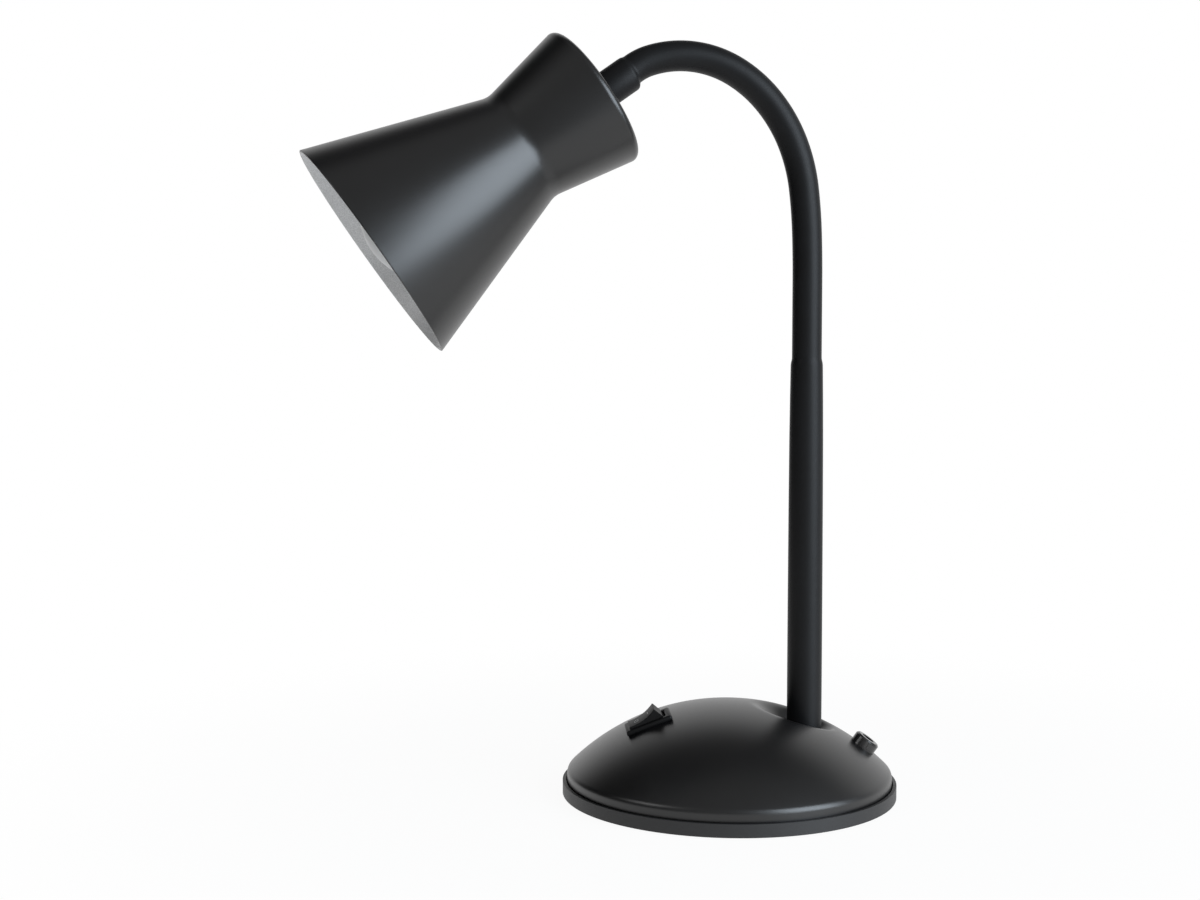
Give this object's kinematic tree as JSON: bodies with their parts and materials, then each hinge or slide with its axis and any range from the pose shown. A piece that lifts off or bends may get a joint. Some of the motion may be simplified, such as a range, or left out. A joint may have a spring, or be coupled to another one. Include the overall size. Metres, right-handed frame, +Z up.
{
  "type": "desk lamp",
  "caption": "Desk lamp with a weighted round base, a rocker switch, a rigid stem, a flexible gooseneck and a double-cone metal shade over a screw-in bulb.",
  "frame": {"origin": "centre of the round base, on the table", "axes": "+Z up; +X from the base's centre towards the stem, so the shade hangs over the -X side; the front of the picture looks along +Y"},
  "size_m": [0.2799, 0.16, 0.3578],
  "materials": {
    "satin_black": "satin powder coat",
    "rim_charcoal": "fine matte texture",
    "welded_steel": "plain drawn",
    "pad_rubber": "matte",
    "iron": "as cast",
    "zinc": "zinc plated",
    "brass": "bright",
    "sleeve_rubber": "matte",
    "core_steel": "plain",
    "black_plastic": "satin",
    "white_plastic": "satin",
    "lead_brown": "satin",
    "lead_black": "satin",
    "lead_blue": "satin",
    "bulb_metal": "bright",
    "bulb_contact_dark": "gloss",
    "frosted_glass": "frosted"
  },
  "bodies": {
    "base": {"base_shell": "satin_black", "shell_bosses": "welded_steel", "base_tray": "rim_charcoal", "base_pad": "pad_rubber", "ballast_plate": "iron", "tray_screws": "zinc", "stem_nipple": "brass", "stem_washer": "zinc", "stem_nut": "zinc", "stem_tube": "welded_steel", "stem_sleeve": "sleeve_rubber", "neck_core_foot": "core_steel", "switch_housing": "black_plastic", "switch_terminals": "brass", "gland_body": "black_plastic", "gland_wedge": "black_plastic", "gland_nut": "black_plastic", "connector_block": "white_plastic", "connector_screws": "brass", "lead_in": "lead_brown", "lead_switched": "lead_black", "lead_neutral": "lead_blue"},
    "rocker": {"switch_rocker": "black_plastic", "rocker_spring": "zinc", "rocker_plunger": "white_plastic"},
    "lever": {"contact_lever": "brass"},
    "neck_1": {"neck_core_1": "core_steel", "neck_sleeve_1": "sleeve_rubber"},
    "neck_2": {"neck_core_2": "core_steel", "neck_sleeve_2": "sleeve_rubber"},
    "neck_3": {"neck_core_3": "core_steel", "neck_sleeve_3": "sleeve_rubber"},
    "neck_4": {"neck_core_4": "core_steel", "neck_sleeve_4": "sleeve_rubber"},
    "neck_5": {"neck_core_5": "core_steel", "neck_sleeve_5": "sleeve_rubber"},
    "neck_6": {"neck_core_6": "core_steel", "neck_sleeve_6": "sleeve_rubber"},
    "neck_7": {"neck_core_7": "core_steel", "neck_sleeve_7": "sleeve_rubber"},
    "neck_8": {"neck_core_8": "core_steel", "neck_sleeve_8": "sleeve_rubber"},
    "head": {"neck_core_tail": "core_steel", "sleeve_end": "sleeve_rubber", "end_fitting": "welded_steel", "shade_shell": "satin_black", "shade_washer": "zinc", "shade_nut": "zinc", "holder_cap": "black_plastic", "holder_insert": "white_plastic", "holder_thread": "brass", "holder_contact": "brass", "holder_skirt": "black_plastic", "holder_screws": "zinc", "holder_leads": "lead_black", "bulb_cap": "bulb_metal", "bulb_contact": "bulb_contact_dark", "bulb_globe": "frosted_glass", "bulb_mount": "frosted_glass"}
  },
  "joints": [
    {"name": "neck_tilt_1", "type": "hinge", "parent": "base", "child": "neck_1", "pos_m": [0.0367, 0, 0.224], "axis": [0.9945, 0.1045, 0], "range_deg": [-25, 25]},
    {"name": "neck_tilt_2", "type": "hinge", "parent": "neck_1", "child": "neck_2", "pos_m": [0.0367, 0, 0.2457], "axis": [0.9945, 0.1045, 0], "range_deg": [-25, 25]},
    {"name": "neck_bend_1", "type": "hinge", "parent": "neck_2", "child": "neck_3", "pos_m": [0.03632, -0.00004, 0.2674], "axis": [-0.1045, 0.9945, 0], "range_deg": [-1.45, 4.09]},
    {"name": "neck_bend_2", "type": "hinge", "parent": "neck_3", "child": "neck_4", "pos_m": [0.03463, -0.00022, 0.28902], "axis": [-0.1045, 0.9945, 0], "range_deg": [-3.16, 9.03]},
    {"name": "neck_bend_3", "type": "hinge", "parent": "neck_4", "child": "neck_5", "pos_m": [0.02924, -0.00078, 0.30997], "axis": [-0.1045, 0.9945, 0], "range_deg": [-5.1, 14.64]},
    {"name": "neck_bend_4", "type": "hinge", "parent": "neck_5", "child": "neck_6", "pos_m": [0.01825, -0.00194, 0.32855], "axis": [-0.1045, 0.9945, 0], "range_deg": [-5.88, 16.89]},
    {"name": "neck_bend_5", "type": "hinge", "parent": "neck_6", "child": "neck_7", "pos_m": [0.00192, -0.00366, 0.34257], "axis": [-0.1045, 0.9945, 0], "range_deg": [-6.97, 20.03]},
    {"name": "neck_bend_6", "type": "hinge", "parent": "neck_7", "child": "neck_8", "pos_m": [-0.01842, -0.00579, 0.34931], "axis": [-0.1045, 0.9945, 0], "range_deg": [-7.67, 22.05]},
    {"name": "neck_bend_7", "type": "hinge", "parent": "neck_8", "child": "head", "pos_m": [-0.03971, -0.00803, 0.34697], "axis": [-0.1045, 0.9945, 0], "range_deg": [-9, 26]},
    {"name": "rocker_turn", "type": "hinge", "parent": "base", "child": "rocker", "pos_m": [-0.03842, -0.00827, 0.03312], "axis": [0, 0.9966, 0.0828], "range_deg": [0, 31.4]},
    {"name": "lever_turn", "type": "hinge", "parent": "base", "child": "lever", "pos_m": [-0.03598, -0.00774, 0.0268], "axis": [0, 0.9966, 0.0828], "range_deg": [-16.05, 0]}
  ],
  "couplings": [
    {"joint": "lever_turn", "follows": "rocker_turn", "ratio": -0.50955}
  ]
}
